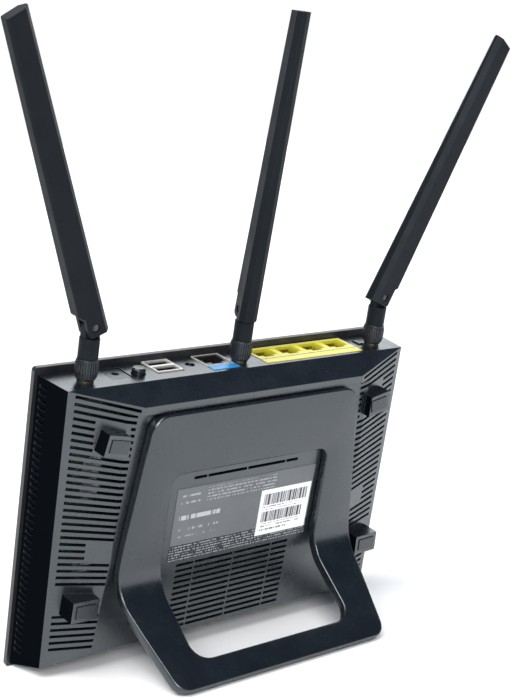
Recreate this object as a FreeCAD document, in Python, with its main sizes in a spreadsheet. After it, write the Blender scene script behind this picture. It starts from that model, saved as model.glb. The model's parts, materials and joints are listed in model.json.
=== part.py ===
import FreeCAD, Part
import math
import os
import re

import Sketcher
from FreeCAD import Placement, Rotation, Vector

# A desktop wireless router that leans back on a bent stand, with three swivelling antennas.
#
# Every piece is drawn in the router's own upright frame, in millimetres: X across the router (the
# right-hand side as seen from its front), Y from the front cover to the back, Z up its height, and
# the origin at the middle of the front cover's lower front edge. LEAN then tips the whole router
# back until the lower edge of the cover and the bar of the stand both rest on Z = 0.

SIZES = [
    ("router_width", 207.0, "width of the front cover"),
    ("router_height", 148.8, "height of the front cover"),
    ("cover_depth", 3.1, "thickness of the front cover's rim"),
    ("cover_sheet", 1.6, "thickness of the front cover's panel"),
    ("cover_corner", 1.8, "corner radius of the front cover"),
    ("lean_angle", 11.5, "backward lean of the router on its stand, degrees"),
    ("rest_flat", 1.8, "width of the flat on the cover's lower edge that rests on the table"),
    ("wall", 2.0, "wall thickness of the rear shell"),
    ("shell_front_half", 101.6, "half width of the shell behind the cover"),
    ("shell_back_half", 99.5, "half width of the shell at its back edge"),
    ("shell_foot_front", 1.6, "height of the shell's lower face behind the cover"),
    ("shell_foot_back", 10.2, "height of the shell's lower face at its back edge"),
    ("shell_top", 145.3, "height of the port face"),
    ("edge_depth", 24.6, "depth of the shell's back edge"),
    ("hip_depth", 12.0, "depth of the hipped back before its plateau is cut"),
    ("hip_slope", 3.38, "run of the vent strips for each millimetre of depth"),
    ("ridge_slope", 0.784, "run of the top and bottom slopes for each millimetre of depth"),
    ("plateau_depth", 34.8, "depth of the plateau at its top edge"),
    ("plateau_top", 137.3, "height of the plateau's top edge"),
    ("plateau_tilt", 1.69, "tilt of the plateau against the front cover, degrees"),
    ("slot_pitch", 3.34, "pitch of the vent slots on the strips and the side walls"),
    ("slot_height", 1.4, "height of one vent slot"),
    ("slot_first", 18.7, "height of the outer end of the lowest vent slot on the strips"),
    ("strip_fan", 14.0, "slope, in degrees, of the topmost slots on the strips"),
    ("slot_rows", 38, "vent slots on each strip"),
    ("slot_outer", 96.3, "half distance between the outer ends of the strip slots"),
    ("side_rows", 40, "vent slots in each side wall"),
    ("grille_pitch", 3.07, "pitch of the rows of the middle grille"),
    ("grille_floor", 17.9, "height of the grille's lowest row"),
    ("grille_half", 34.2, "half width of the grille"),
    ("grille_bridge", 23.7, "distance between the bridges that divide the grille slots"),
    ("foot_width", 14.0, "width of the raised blocks under the back feet"),
    ("foot_height", 10.2, "height of those blocks"),
    ("foot_face", 36.6, "depth of the blocks' outer faces"),
    ("upper_foot_side", 84.8, "half distance across the upper feet"),
    ("upper_foot_top", 126.4, "height of the upper feet's top edge"),
    ("lower_foot_side", 93.0, "half distance across the lower feet"),
    ("lower_foot_top", 47.5, "height of the lower feet's top edge"),
    ("pad_depth", 1.0, "thickness of a rubber pad"),
    ("pad_sink", 0.5, "depth of the pad's recess"),
    ("plate_face", 37.6, "depth of the stand plate's outer face"),
    ("stand_gauge", 5.0, "thickness of the stand"),
    ("stand_top", 133.0, "height of the stand plate's top edge"),
    ("stand_top_half", 60.5, "half width of the stand at its top"),
    ("stand_bend", 49.0, "height of the bend in the stand"),
    ("stand_bend_half", 72.0, "half width of the stand at its bend"),
    ("stand_foot_half", 62.4, "half width of the stand at its bar"),
    ("stand_angle", 57.0, "angle of the legs away from the plate, degrees"),
    ("leg_length", 53.9, "length of the legs from the bend to the bar's edge"),
    ("window_top", 102.6, "height of the stand window's top edge"),
    ("window_half", 47.0, "half width of the stand window"),
    ("window_leg", 41.3, "length along the legs to the window's lower edge"),
    ("antenna_side", 85.8, "distance from the middle antenna to each outer one"),
    ("antenna_depth", 16.4, "depth of the antenna sockets"),
    ("hinge_height", 25.9, "height of the antenna hinges above the port face"),
    ("collar_foot", 1.3, "gap between the port face and the knurled collar"),
    ("collar_height", 9.8, "height of the knurled collar"),
    ("collar_radius", 5.4, "largest radius of the knurled collar"),
    ("barrel_radius", 4.6, "radius of the antenna barrel"),
    ("shoulder_drop", 5.2, "drop from a hinge to the shoulder of its barrel"),
    ("tongue_gauge", 3.8, "thickness of the barrel's hinge tongue"),
    ("tongue_radius", 3.9, "radius of the tongue's round end"),
    ("blade_length", 142.0, "length of an antenna blade from its hinge to its tip"),
    ("blade_width", 13.4, "width of a blade at its hinge"),
    ("blade_gauge", 8.8, "thickness of a blade at its hinge"),
    ("tip_width", 11.2, "width of a blade at its tip"),
    ("tip_gauge", 6.2, "thickness of a blade at its tip"),
    ("blade_foot", 3.9, "length of a blade below its hinge"),
    ("tip_slant", 11.0, "slant of a blade's end, degrees"),
    ("screw_radius", 1.0, "radius of the hinge screw"),
    ("socket_radius", 3.1, "outer radius of the antenna sockets"),
    ("board_face", 17.4, "depth of the circuit board's component face"),
    ("board_gauge", 1.6, "thickness of the circuit board"),
    ("jack_depth", 13.4, "depth of a network port block"),
    ("jack_front", 4.0, "depth of the network ports' front side"),
    ("jack_pitch", 15.4, "distance between network ports"),
    ("jack_floor", 128.0, "height of the network blocks' lower face"),
    ("lan_near", 12.4, "distance from the middle antenna to the four-port block"),
    ("wan_near", 3.9, "distance from the middle antenna to the single port"),
    ("button_radius", 3.2, "radius of the power button"),
    ("button_travel", 2.0, "travel of the power button"),
    ("button_gap", 0.35, "gap around a button"),
    ("tact_travel", 0.5, "travel of the two small buttons"),
]
ALIASES = [alias for alias, _, _ in SIZES]

# Places of the parts on the port face, across the router: positive is the router's left side as
# seen from behind, which is where the power socket is.
POWER_JACK_X = 67.0
POWER_BUTTON_X = 56.8
USB_X = 40.4
RESET_X = 26.1
PAIRING_X = -80.0
BUTTON_Y = 12.6
POWER_BUTTON_Y = 15.2
# Rows of the vent strips, counted from the lowest, that stop at a foot or at a blank label pad.
ROWS_AT_LOWER_FOOT = range(6, 10)
ROWS_AT_LABEL = range(14, 17)
ROWS_AT_UPPER_FOOT = range(30, 35)

# Each antenna: name, side of the middle one, swivel about its socket and tilt from upright.
ANTENNAS = [
    ("left", 1, 0.0, 21.0),
    ("middle", 0, -112.0, -6.8),
    ("right", -1, 183.0, 24.6),
]

# The row of status lights near the cover's lower edge.
LIGHTS = 8
LIGHT_PITCH = 11.0
LIGHT_HEIGHT = 17.0
LIGHT_RADIUS = 1.1

# Where the circuit board is screwed down, and the supply capacitors stand on it: (across, height).
BOSSES = [(66, 30), (-66, 30), (66, 112), (-66, 112)]
CAPACITORS = [(83.5, 109), (83.5, 98), (83.5, 60), (-83.5, 104)]

# A network port's space for a plug.
CAVITY_WIDTH = 11.9
CAVITY_DEPTH = 7.6
CAVITY_FRONT = 1.9
CAVITY_REACH = 14.5
SHEET_METAL = 0.3

BEND_INSIDE = 19.0
WINDOW_CORNER = 6.0
KNURLS = 28
SEAT_FACE = "blade_gauge / 2 - 1.3"
FORWARDS = Rotation(Vector(1, 0, 0), 90)

doc = FreeCAD.newDocument("wireless_router")
sheet = doc.addObject("Spreadsheet::Sheet", "sizes")
pieces = []


def fill_sheet():
    """Write the driving dimensions, one to a row, with an alias each."""
    for row, (alias, size, meaning) in enumerate(SIZES, start=1):
        sheet.set(f"A{row}", alias)
        sheet.set(f"B{row}", str(size))
        sheet.setAlias(f"B{row}", alias)
        sheet.set(f"C{row}", meaning)
    doc.recompute()


def size(alias):
    """The value of one driving dimension."""
    return float(sheet.get(alias))


def bound(text):
    """An expression in which every alias is looked up in the sheet."""
    return re.sub(r"[a-z_]+", lambda word: f"sizes.{word[0]}" if word[0] in ALIASES else word[0], str(text))


def bind(thing, path, text):
    thing.setExpression(path, bound(text))


# Primitives and booleans ------------------------------------------------------------------------


def box(name, across, deep, high):
    """A box between (low, high) expressions along X, Y and Z."""
    thing = doc.addObject("Part::Box", name)
    for side, axis, (low, top) in zip(("Length", "Width", "Height"), "xyz", (across, deep, high)):
        bind(thing, f"Placement.Base.{axis}", low)
        bind(thing, side, f"({top}) - ({low})")
    return thing


def cylinder(name, radius, height, at, turn=None):
    """A cylinder from the point of expressions at, upwards unless a rotation turns it."""
    thing = doc.addObject("Part::Cylinder", name)
    if turn:
        thing.Placement.Rotation = turn
    bind(thing, "Radius", radius)
    bind(thing, "Height", height)
    for axis, text in zip("xyz", at):
        bind(thing, f"Placement.Base.{axis}", text)
    return thing


def wedge(name, low, high):
    """A frustum along Y. low and high: (depth, left, right, bottom, top) as expressions."""
    thing = doc.addObject("Part::Wedge", name)
    names = (("Ymin", "Xmin", "Xmax", "Zmin", "Zmax"), ("Ymax", "X2min", "X2max", "Z2min", "Z2max"))
    for labels, texts in zip(names, (low, high)):
        for label, text in zip(labels, texts):
            bind(thing, label, text)
    return thing


def fuse(name, *shapes):
    thing = doc.addObject("Part::MultiFuse", name)
    thing.Shapes = list(shapes)
    return thing


def cut(name, base, *tools):
    thing = doc.addObject("Part::Cut", name)
    thing.Base = base
    thing.Tool = tools[0] if len(tools) == 1 else fuse(f"{name}_tools", *tools)
    return thing


def group(name, *shapes):
    """Separate solids that are kept together, unjoined."""
    thing = doc.addObject("Part::Compound", name)
    thing.Links = list(shapes)
    return thing


def rounded(name, base, radius, picks):
    """Fillet the edges of base that picks() accepts."""
    doc.recompute()
    thing = doc.addObject("Part::Fillet", name)
    thing.Base = base
    edges = enumerate(base.Shape.Edges, start=1)
    thing.Edges = [(number, radius, radius) for number, edge in edges if picks(edge)]
    return thing


def bevelled(name, base, width, picks):
    """Chamfer the edges of base that picks() accepts."""
    doc.recompute()
    thing = doc.addObject("Part::Chamfer", name)
    thing.Base = base
    edges = enumerate(base.Shape.Edges, start=1)
    thing.Edges = [(number, width, width) for number, edge in edges if picks(edge)]
    return thing


def runs_along(edge, axis):
    """Whether a straight edge runs along an axis."""
    if not isinstance(edge.Curve, Part.Line):
        return False
    return abs(edge.Curve.Direction.dot(axis)) > 0.999


# Sketched bodies --------------------------------------------------------------------------------


def body(name):
    return doc.addObject("PartDesign::Body", name)


def sketch(owner, name, role, offset=None):
    """A sketch on one of the body's own origin planes."""
    drawing = owner.newObject("Sketcher::SketchObject", name)
    plane = next(feature for feature in owner.Origin.OriginFeatures if feature.Role == role)
    drawing.AttachmentSupport = [(plane, "")]
    drawing.MapMode = "FlatFace"
    if offset:
        drawing.AttachmentOffset = offset
    return drawing


def draw(drawing, points):
    """Draw a closed outline through (across, up) expressions, one line to a side."""
    numbers = []
    for index in range(len(points)):
        near = Vector(index, index % 2, 0)
        far = Vector(index + 1, (index + 1) % 2, 0)
        numbers.append(drawing.addGeometry(Part.LineSegment(near, far), False))
    for index, number in enumerate(numbers):
        following = numbers[(index + 1) % len(numbers)]
        drawing.addConstraint(Sketcher.Constraint("Coincident", number, 2, following, 1))
    for number, (across, up) in zip(numbers, points):
        for kind, text in (("DistanceX", across), ("DistanceY", up)):
            place = drawing.addConstraint(Sketcher.Constraint(kind, -1, 1, number, 1, 1.0))
            bind(drawing, f"Constraints[{place}]", text)
    return drawing


def rectangle(drawing, left, right, low, high):
    return draw(drawing, [(left, low), (right, low), (right, high), (left, high)])


def pad(owner, name, drawing, length, midplane=False, reverse=False):
    feature = owner.newObject("PartDesign::Pad", name)
    feature.Profile = drawing
    feature.SideType = "Symmetric" if midplane else "One side"
    feature.Reversed = reverse
    bind(feature, "Length", length)
    return feature


def revolve(owner, name, drawing):
    """Turn a sketch on the XZ plane about the body's Z axis."""
    feature = owner.newObject("PartDesign::Revolution", name)
    feature.Profile = drawing
    feature.ReferenceAxis = (drawing, ["V_Axis"])
    feature.Angle = 360.0
    return feature


def stacked(owner, name, feature, drawing, pitch, count):
    """Repeat a feature up its sketch's vertical axis."""
    feature_row = owner.newObject("PartDesign::LinearPattern", name)
    feature_row.Originals = [feature]
    feature_row.Direction = (drawing, ["V_Axis"])
    bind(feature_row, "Length", f"({pitch}) * (({count}) - 1)")
    bind(feature_row, "Occurrences", count)
    owner.Tip = feature_row
    return feature_row


def slot_bank(name, spans, low, pitch, count, role="XZ_Plane"):
    """A bank of cutters: each span of (left, right) is a slot, repeated upwards."""
    bank = body(name)
    drawing = sketch(bank, f"{name}_slots", role)
    for left, right in spans:
        rectangle(drawing, left, right, low, f"({low}) + slot_height")
    first = pad(bank, f"{name}_pad", drawing, "router_width * 2", midplane=True)
    doc.recompute()
    stacked(bank, f"{name}_rows", first, drawing, pitch, count)
    return bank


# Placing ----------------------------------------------------------------------------------------


def lean():
    """Tip the upright router back and set the flat on its cover down at the world's origin."""
    angle = math.radians(size("lean_angle"))
    rest_y = size("cover_depth") - size("rest_flat") * math.cos(angle) / 2
    rest_z = size("rest_flat") * math.sin(angle) / 2
    turn = Rotation(Vector(1, 0, 0), -size("lean_angle"))
    return Placement(-turn.multVec(Vector(0, rest_y, rest_z)), turn)


def keep(label, thing, local=None):
    """Name a finished piece and put it in its place."""
    thing.Label = label
    thing.Placement = LEAN.multiply(local) if local else LEAN
    pieces.append(thing)
    return thing


def antenna_place(side, swivel):
    """The frame of one antenna: its origin on the port face, X towards the side it folds to."""
    at = Vector(side * size("antenna_side"), size("antenna_depth"), size("shell_top"))
    return Placement(at, Rotation(Vector(0, 0, 1), swivel))


def blade_place(side, swivel, tilt):
    """The frame of one blade: its origin at the hinge, Z along the blade."""
    hinge = Placement(Vector(0, 0, size("hinge_height")), Rotation(Vector(0, 1, 0), tilt))
    return antenna_place(side, swivel).multiply(hinge)


fill_sheet()
LEAN = lean()


# Housing ----------------------------------------------------------------------------------------


def table():
    """The space below the table top, which cuts flats on what rests there."""
    thing = doc.addObject("Part::Box", "table")
    thing.Length = thing.Width = 600
    thing.Height = 50
    thing.Placement = LEAN.inverse().multiply(Placement(Vector(-300, -300, -50), Rotation()))
    return thing


def front_cover(ground):
    """A shallow tray with rounded corners, open to the back, with holes for the status lights."""
    half = "router_width / 2"
    slab = box("cover_slab", (f"-{half}", half), ("0", "cover_depth"), ("0", "router_height"))
    soft = rounded("cover_soft", slab, size("cover_corner"), lambda edge: runs_along(edge, Vector(0, 1, 0)))
    rim = rounded("cover_rim", soft, 0.8, lambda edge: edge.BoundBox.YMax < 0.01)
    hollow = box(
        "cover_hollow",
        (f"wall * 2 - {half}", f"{half} - wall * 2"),
        ("cover_sheet", "cover_depth + 1"),
        ("wall * 2.2", "router_height - wall * 2.2"),
    )
    holes = [light_hole(index) for index in range(LIGHTS)]
    keep("front_cover", cut("cover", rim, hollow, ground, *holes))


def light_place(index):
    across = (index - (LIGHTS - 1) / 2) * LIGHT_PITCH
    return across, LIGHT_HEIGHT


def light_hole(index):
    across, height = light_place(index)
    return cylinder(f"light_hole_{index}", LIGHT_RADIUS + 0.05, 5, (across, 4, height), FORWARDS)


def light_guide():
    """One clear moulding: a bar inside the cover with a post for each status light."""
    bar = box("guide_bar", (-42.5, 42.5), ("cover_sheet + 0.1", "cover_depth + 0.7"), (15.4, 18.6))
    posts = [bar]
    for index in range(LIGHTS):
        across, height = light_place(index)
        at = (across, "cover_sheet + 0.2", height)
        posts.append(cylinder(f"guide_post_{index}", LIGHT_RADIUS, "cover_sheet + 0.2", at, FORWARDS))
    keep("light_guide", fuse("guide", *posts))


def shell_solid(name, inset):
    """The shell's outer form, or its hollow when inset by the wall."""
    front = (
        "cover_depth",
        f"{inset} - shell_front_half",
        f"shell_front_half - {inset}",
        f"shell_foot_front + {inset}",
        f"shell_top - {inset}",
    )
    edge = (
        f"edge_depth - {inset} * 0.4",
        f"{inset} - shell_back_half",
        f"shell_back_half - {inset}",
        f"shell_foot_back + {inset}",
        f"shell_top - {inset}",
    )
    crown = (
        f"edge_depth + hip_depth - {inset}",
        f"{inset} + hip_depth * hip_slope - shell_back_half",
        f"shell_back_half - hip_depth * hip_slope - {inset}",
        f"shell_foot_back + hip_depth * ridge_slope + {inset}",
        f"shell_top - hip_depth * ridge_slope - {inset}",
    )
    hull = fuse(f"{name}_hull", wedge(f"{name}_front", front, edge), wedge(f"{name}_back", edge, crown))
    beyond = doc.addObject("Part::Box", f"{name}_beyond")
    beyond.Length = beyond.Height = 400
    beyond.Width = 30
    tilt = Rotation(Vector(1, 0, 0), -size("plateau_tilt"))
    depth = size("plateau_depth") - (2 * size("wall") if inset != "0" else 0)
    corner = Vector(0, depth, size("plateau_top"))
    beyond.Placement = Placement(corner + tilt.multVec(Vector(-200, 0, -200)), tilt)
    return cut(name, hull, beyond)


def strip_slots():
    """The slots of the two vent strips, clipped to the strips."""
    rows = [strip_row(row, side) for row in range(round(size("slot_rows"))) for side in (-1, 1)]
    clip = body("strip_clip")
    for side in (-1, 1):
        outline = [
            (side * 76.6, 16.5),
            (side * 96.6, 12.0),
            (side * 96.6, 144.4),
            (side * 93.0, 143.8),
            (side * 66.6, 136.6),
        ]
        drawing = draw(sketch(clip, f"strip_outline_{side + 1}", "XZ_Plane"), outline)
        pad(clip, f"strip_clip_{side + 1}", drawing, 120, midplane=True)
    inside = doc.addObject("Part::Common", "strip_slots")
    inside.Base = group("strip_bank", *[row for row in rows if row])
    inside.Tool = clip
    return inside


def strip_row(row, side):
    """One row of slots on one strip, numbered from the lowest; the rows fan out upwards."""
    low = f"slot_first + slot_pitch * {row}"
    slots = []
    for outer, inner in row_spans(row):
        across = (inner, outer) if side > 0 else (f"-({outer})", f"-({inner})")
        name = f"slot_{row}_{side + 1}_{len(slots)}"
        slots.append(box(name, across, (0, 60), (low, f"{low} + slot_height")))
    if not slots:
        return None
    return sloped(side, size("slot_outer"), size("slot_first") + size("slot_pitch") * row, *slots)


def row_spans(row):
    """The (outer, inner) half distances of the slots in a row: none, one, or two round a foot."""
    margin = 1.4
    if row in ROWS_AT_LOWER_FOOT:
        return []
    if row in ROWS_AT_LABEL:
        return [("slot_outer", 84.6)]
    if row in ROWS_AT_UPPER_FOOT:
        near = f"upper_foot_side - foot_width - {margin}"
        return [("slot_outer", f"upper_foot_side + {margin}"), (near, 50)]
    return [("slot_outer", 50)]


def sloped(side, across, height, *shapes):
    """Shapes turned about a point of a strip, to slope down inwards as its slots do there."""
    above = (height - size("slot_first")) / (size("slot_pitch") * (size("slot_rows") - 1))
    turn = Rotation(Vector(0, 1, 0), -side * size("strip_fan") * above)
    thing = group(f"{shapes[0].Name}_sloped", *shapes)
    thing.Placement = Placement(Vector(0, 0, 0), turn, Vector(side * across, 0, height))
    return thing


def grille_slots():
    """The long slots of the middle grille and the row above the label, divided by narrow bridges."""
    spans = divided("grille_half")
    bank = slot_bank("grille_bank", spans, "grille_floor", "grille_pitch", 12)
    row = slot_bank("grille_top", divided("grille_half - 2.8"), 97.0, 3.0, 1)
    return fuse("grille_cutters", bank, row)


def divided(half):
    """The four (left, right) spans of one row of slots between its three bridges."""
    bridge = 0.4
    ends = (f"-({half})", "-grille_bridge", "0", "grille_bridge", half)
    for index in range(4):
        left = ends[index] if index == 0 else f"{ends[index]} + {bridge}"
        right = ends[index + 1] if index == 3 else f"{ends[index + 1]} - {bridge}"
        yield left, right


def side_slots():
    """The short slots near the cover in both side walls."""
    return slot_bank("side_bank", [(5.2, 10.4)], 10.2, "slot_pitch", "side_rows", "YZ_Plane")


def port_holes():
    """The openings in the port face."""
    top = ("shell_top - wall * 3", "shell_top + 5")
    lan = ("-(lan_near + jack_pitch * 4 + 0.4)", "-(lan_near - 0.4)")
    wan = ("wan_near - 0.4", "wan_near + jack_pitch + 0.4")
    deep = ("jack_front - 0.4", "jack_front + jack_depth + 0.4")
    holes = [
        box("lan_hole", lan, deep, top),
        box("wan_hole", wan, deep, top),
        box("usb_hole", (USB_X - 7.3, USB_X + 7.3), (3.3, 18.3), top),
        box("jack_hole", (POWER_JACK_X - 5.4, POWER_JACK_X + 5.4), (5.9, 18.1), top),
        around("pairing_hole", PAIRING_X, (1.9, 2.9), top),
        button_hole("power_hole", (POWER_BUTTON_X, POWER_BUTTON_Y), "button_radius + button_gap"),
        button_hole("reset_hole", (RESET_X, BUTTON_Y), 2.4),
    ]
    for name, side, _, _ in ANTENNAS:
        at = (f"{side} * antenna_side", "antenna_depth", "shell_top - 10")
        holes.append(cylinder(f"socket_hole_{name}", "socket_radius + 0.05", 20, at))
    return fuse("port_cutters", *holes)


def button_hole(name, centre, radius):
    return cylinder(name, radius, 20, (*centre, "shell_top - 10"))


def foot_boxes(name, margin, deep):
    """A box inside each foot's outline, at a margin from its edges, sloping with the slots."""
    boxes = []
    for foot in ("upper", "lower"):
        across = size(f"{foot}_foot_side") - size("foot_width") / 2
        height = size(f"{foot}_foot_top") - size("foot_height") / 2
        outer = f"{foot}_foot_side - {margin}"
        inner = f"{foot}_foot_side - foot_width + {margin}"
        high = (f"{foot}_foot_top - foot_height + {margin}", f"{foot}_foot_top - {margin}")
        left = box(f"{name}_{foot}_left", (f"-({outer})", f"-({inner})"), deep, high)
        right = box(f"{name}_{foot}_right", (inner, outer), deep, high)
        boxes.append(sloped(-1, across, height, left))
        boxes.append(sloped(1, across, height, right))
    return boxes


def foot_pads():
    """Four rubber pads, set in recesses in the feet."""
    deep = ("foot_face - pad_sink", "foot_face - pad_sink + pad_depth")
    keep("foot_pads", group("pads", *foot_boxes("rubber_pad", 2.1, deep)))


def stand_rebate():
    """The shallow seat in the plateau that takes the stand's plate: two sides and a top."""
    outer = "stand_bend_half + 0.4"
    inner = "window_half - 0.4"
    deep = ("plate_face - stand_gauge - 0.05", 60)
    high = (30, "stand_top + 0.4")
    left = box("rebate_left", (inner, outer), deep, high)
    right = box("rebate_right", (f"-({outer})", f"-({inner})"), deep, high)
    above = ("window_top - 0.4", "stand_top + 0.4")
    top = box("rebate_top", (f"-({inner}) - 1", f"{inner} + 1"), deep, above)
    corners = [rebate_corner("left", -1, deep), rebate_corner("right", 1, deep)]
    return fuse("rebate", left, right, top, *corners)


def rebate_corner(name, side, deep):
    """The seat behind one rounded upper corner of the stand's window."""
    centre = side * (size("window_half") - WINDOW_CORNER)
    across = sorted((centre, side * size("window_half")))
    square = box(f"rebate_{name}_square", across, deep, (f"window_top - {WINDOW_CORNER}", "window_top"))
    at = (centre, 70, f"window_top - {WINDOW_CORNER}")
    round_part = cylinder(f"rebate_{name}_round", WINDOW_CORNER - 0.3, 70, at, FORWARDS)
    return cut(f"rebate_{name}_corner", square, round_part)


def board_bosses():
    """Posts from the shell's back wall to the circuit board, with a pilot hole for each screw."""
    posts = []
    for number, (across, height) in enumerate(BOSSES):
        at = (across, 31, height)
        post = cylinder(f"boss_{number}", 3.2, "31 - board_face - board_gauge", at, FORWARDS)
        posts.append(post)
    return posts


def boss_pilots():
    """The screws' holes in the bosses and the board."""
    holes = []
    for number, (across, height) in enumerate(BOSSES):
        holes.append(cylinder(f"pilot_{number}", 1.25, 12, (across, "board_face + 11", height), FORWARDS))
    return holes


def rear_shell():
    """The casing behind the cover: hollow, hipped at the back, vented, with the port face on top."""
    feet = foot_boxes("foot_block", 0, ("edge_depth", "foot_face"))
    form = fuse("shell_form", shell_solid("shell_outer", "0"), *feet)
    walls = cut("shell_walls", form, shell_solid("shell_inner", "wall"))
    slotted = cut("shell_slotted", walls, strip_slots())
    vented = cut("shell_vented", slotted, grille_slots(), side_slots())
    bossed = fuse("shell_bossed", vented, *board_bosses())
    recesses = foot_boxes("foot_recess", 2, ("foot_face - pad_sink", "foot_face + 1"))
    hooks = stand_hooks("hook_hole", 0.15)
    tools = [port_holes(), stand_rebate(), *recesses, *hooks, *boss_pilots()]
    keep("rear_shell", cut("shell", bossed, *tools))


# Stand ------------------------------------------------------------------------------------------


def bend_reach():
    """How far the bend's round part runs along the plate and along the legs."""
    return BEND_INSIDE * math.tan(math.radians(size("stand_angle")) / 2)


def stand_outline(drawing, near, window, far, near_half, far_half):
    """A trapezoid with a window that is open at its near edge."""
    points = [
        (f"-({near_half})", near),
        ("-window_half", near),
        ("-window_half", window),
        ("window_half", window),
        ("window_half", near),
        (near_half, near),
        (far_half, far),
        (f"-({far_half})", far),
    ]
    return draw(drawing, points)


def stand_plate():
    """The flat part against the router's back."""
    plate = body("stand_plate")
    drawing = sketch(plate, "plate_outline", "XZ_Plane")
    near = f"stand_bend + {bend_reach()}"
    stand_outline(drawing, near, "window_top", "stand_top", "stand_bend_half - 1.5", "stand_top_half")
    pad(plate, "plate_pad", drawing, "stand_gauge", reverse=True)
    top = rounded("plate_top", plate, 9, lambda edge: across_sheet(edge, "stand_top"))
    corners = rounded("plate_corners", top, WINDOW_CORNER, lambda edge: across_sheet(edge, "window_top"))
    moved = group("plate_placed", corners)
    bind(moved, "Placement.Base.y", "plate_face - stand_gauge")
    return moved


def across_sheet(edge, level):
    """Whether an edge runs through the sheet at the height of a driving dimension."""
    return runs_along(edge, Vector(0, 1, 0)) and abs(edge.BoundBox.Center.z - size(level)) < 0.5


def stand_legs():
    """The legs and the bar that the router leans on, drawn in their own plane."""
    legs = body("stand_legs")
    drawing = sketch(legs, "leg_outline", "XZ_Plane")
    near = bend_reach()
    stand_outline(drawing, near, "window_leg", "leg_length", "stand_bend_half - 1.5", "stand_foot_half")
    pad(legs, "leg_pad", drawing, "stand_gauge", reverse=True)
    ends = rounded("leg_ends", legs, 8, lambda edge: across_sheet(edge, "leg_length"))
    corners = rounded("leg_corners", ends, 9, lambda edge: across_sheet(edge, "window_leg"))
    angle = math.radians(size("stand_angle"))
    along = Vector(0, math.sin(angle), -math.cos(angle))
    inward = Vector(0, -math.cos(angle), -math.sin(angle))
    moved = group("legs_placed", corners)
    at = Vector(0, size("plate_face"), size("stand_bend"))
    moved.Placement = Placement(at, Rotation(Vector(1, 0, 0), inward, along, "XYZ"))
    return moved


def stand_bends():
    """The round bends between the plate and the legs, one to each side of the window."""
    turn = Rotation(Vector(0, -1, 0), Vector(0, 0, -1), Vector(1, 0, 0), "XYZ")
    bends = []
    for side in (-1, 1):
        low = "window_half" if side > 0 else "1.5 - stand_bend_half"
        at = (low, f"plate_face + {BEND_INSIDE}", f"stand_bend + {bend_reach()}")
        span = "stand_bend_half - 1.5 - window_half"
        outside = cylinder(f"bend_outside_{side + 1}", f"{BEND_INSIDE} + stand_gauge", span, at, turn)
        bind(outside, "Angle", "stand_angle")
        inside = cylinder(f"bend_inside_{side + 1}", BEND_INSIDE, span, at, turn)
        bends.append(cut(f"bend_{side + 1}", outside, inside))
    return bends


def stand_hooks(name, margin):
    """Four tongues behind the plate that clip into the shell's back."""
    hooks = []
    for across in (-56, 56):
        for height in (112, 70):
            wide = (across - 5 - margin, across + 5 + margin)
            deep = ("plate_face - stand_gauge - 5", "plate_face - stand_gauge")
            high = (height - 1.5 - margin, height + 1.5 + margin)
            hooks.append(box(f"{name}_{across + 56}_{height}", wide, deep, high))
    return hooks


def stand(ground):
    """One bent frame: a plate behind the router, two legs and a bar that stands on the table."""
    frame = fuse("stand_frame", stand_plate(), *stand_bends(), stand_legs())
    keep("stand", cut("stand_cut", fuse("stand_hooked", frame, *stand_hooks("hook", 0)), ground))


# Labels -----------------------------------------------------------------------------------------


def plateau():
    """The frame of the plateau: X across, Z up it from its top edge, Y out of it."""
    at = Vector(0, size("plateau_depth"), size("plateau_top"))
    return Placement(at, Rotation(Vector(1, 0, 0), -size("plateau_tilt")))


def labels():
    """The grey rating label in the stand's window and the white sticker on its side."""
    label = box("label_sheet", (-44, 40), (0, 0.2), (-82.3, -44.3))
    keep("rating_label", group("rating", label), plateau())
    sticker = box("sticker_sheet", (-43.2, -11.6), (0.2, 0.35), (-78.2, -53.6))
    keep("barcode_sticker", group("sticker", sticker), plateau())


# Circuit board and what is on it ----------------------------------------------------------------


def on_board(name, across, high, gauge, back=True):
    """A box on one face of the board, across and high as (low, high)."""
    face = "board_face + board_gauge" if back else "board_face"
    deep = (face, f"{face} + {gauge}") if back else (f"{face} - {gauge}", face)
    return box(name, across, deep, high)


def main_board():
    board = box("board_sheet", (-91, 91), ("board_face", "board_face + board_gauge"), (22, 138))
    holes = [
        cylinder(f"board_hole_{number}", 1.6, 12, (across, "board_face + 6", height), FORWARDS)
        for number, (across, height) in enumerate(BOSSES)
    ]
    keep("main_board", cut("board", board, *holes))


def board_screws():
    """Pan-head screws that hold the board on its bosses."""
    screws = []
    for number, (across, height) in enumerate(BOSSES):
        shank = cylinder(f"shank_{number}", 1.2, 9, (across, "board_face + 8.5", height), FORWARDS)
        head = cylinder(f"head_{number}", 2.8, 1.6, (across, "board_face - 0.02", height), FORWARDS)
        screws.append(fuse(f"screw_{number}", shank, head))
    keep("board_screws", group("screws", *screws))


def heatsink():
    """A finned aluminium block on the processor."""
    base = on_board("heatsink_base", (-18, 18), (44, 80), 3)
    fins = [
        box(f"fin_{row}", (-18, 18), ("board_face + board_gauge + 3", 27.5), (44 + row * 5, 45.2 + row * 5))
        for row in range(8)
    ]
    keep("soc_heatsink", fuse("heatsink", base, *fins))


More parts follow.
